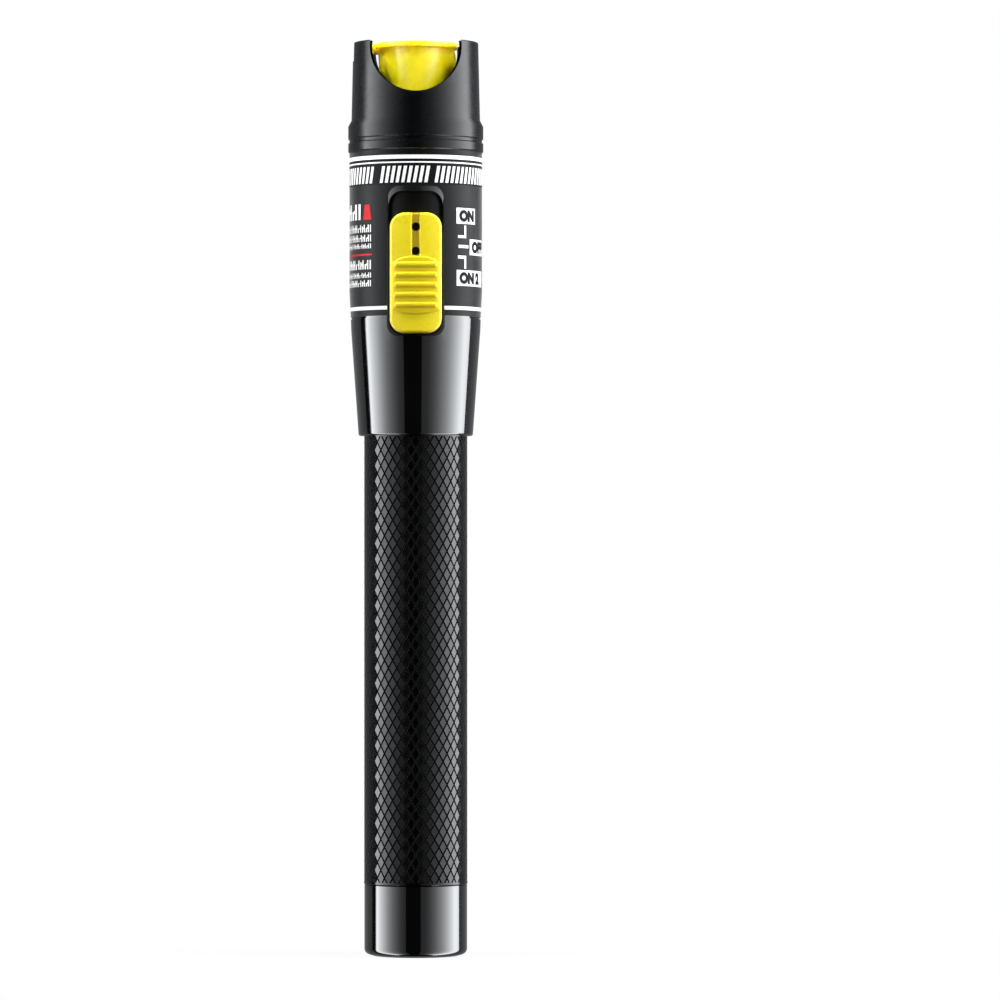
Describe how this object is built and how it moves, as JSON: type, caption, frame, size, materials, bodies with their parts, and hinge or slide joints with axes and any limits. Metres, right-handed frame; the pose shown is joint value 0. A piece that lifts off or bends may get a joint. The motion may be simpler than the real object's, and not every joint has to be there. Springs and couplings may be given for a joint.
{
  "type": "visual fault locator pen",
  "caption": "Pen-shaped fibre-optic visual fault locator with knurled grip, tapered sleeve, yellow thumb slider and hinged yellow dust cap over the ferrule port.",
  "frame": {"origin": "centre of the flat end of the tail cap", "axes": "+Z along the pen from the tail to the dust cap; -Y is the front with the thumb slider; +X is to the right of the slider"},
  "size_m": [0.026, 0.0284, 0.1751],
  "materials": {
    "black_anodised": "gloss black anodised",
    "grip_anodised": "satin black anodised knurl",
    "ring_anodised": "satin black anodised",
    "steel": "bright",
    "rubber": "matte",
    "cell": "printed sleeve",
    "label": "satin film",
    "black_plastic": "satin",
    "white_plastic": "satin",
    "yellow_slider": "satin yellow",
    "yellow_cap": "soft lemon yellow",
    "board": "solder mask",
    "capacitor": "bright",
    "brass": "turned",
    "nickel": "turned",
    "ceramic": "white ceramic",
    "glass": "clear"
  },
  "bodies": {
    "tail": {"tail_cap": "black_anodised", "tail_contact_plate": "steel", "tail_spring": "steel", "tail_o_ring": "rubber"},
    "cells": {"battery_lower": "cell", "battery_upper": "cell"},
    "pen": {"grip_tube": "grip_anodised", "grip_o_ring": "rubber", "body_shell": "black_anodised", "label_wrap": "label", "switch_bezel": "black_plastic", "contact_holder": "black_plastic", "positive_contact": "brass", "chassis": "black_plastic", "circuit_board": "board", "board_screw_lower": "steel", "board_screw_upper": "steel", "slide_switch": "steel", "driver_chip": "black_plastic", "capacitor": "capacitor", "laser_housing": "brass", "laser_diode": "brass", "lens": "glass", "lens_ring": "nickel", "port_nozzle": "nickel", "split_sleeve": "ceramic", "collar_ring": "ring_anodised", "collar_gasket": "rubber", "head_shroud": "black_plastic", "hinge_pin": "steel"},
    "slider": {"thumb_slider": "yellow_slider", "slider_dot_upper": "black_plastic", "slider_dot_lower": "black_plastic", "switch_carriage": "black_plastic", "switch_lever": "white_plastic"},
    "cap": {"dust_cap": "yellow_cap"}
  },
  "joints": [
    {"name": "tail_travel", "type": "slide", "parent": "tail", "child": "cells", "axis": [0, 0, 1], "range_m": [0, 0.005]},
    {"name": "tail_unscrew", "type": "hinge", "parent": "cells", "child": "pen", "pos_m": [0, 0, 0.0137], "axis": [0, 0, 1], "range_deg": [0, 1440]},
    {"name": "switch_slide", "type": "slide", "parent": "pen", "child": "slider", "axis": [0, 0, 1], "range_m": [0, 0.004]},
    {"name": "cap_flip", "type": "hinge", "parent": "pen", "child": "cap", "pos_m": [-0.0106, 0, 0.1733], "axis": [0, -1, 0], "range_deg": [0, 170]}
  ],
  "couplings": [
    {"joint": "tail_unscrew", "follows": "tail_travel", "rad_per_m": 5026.5}
  ]
}
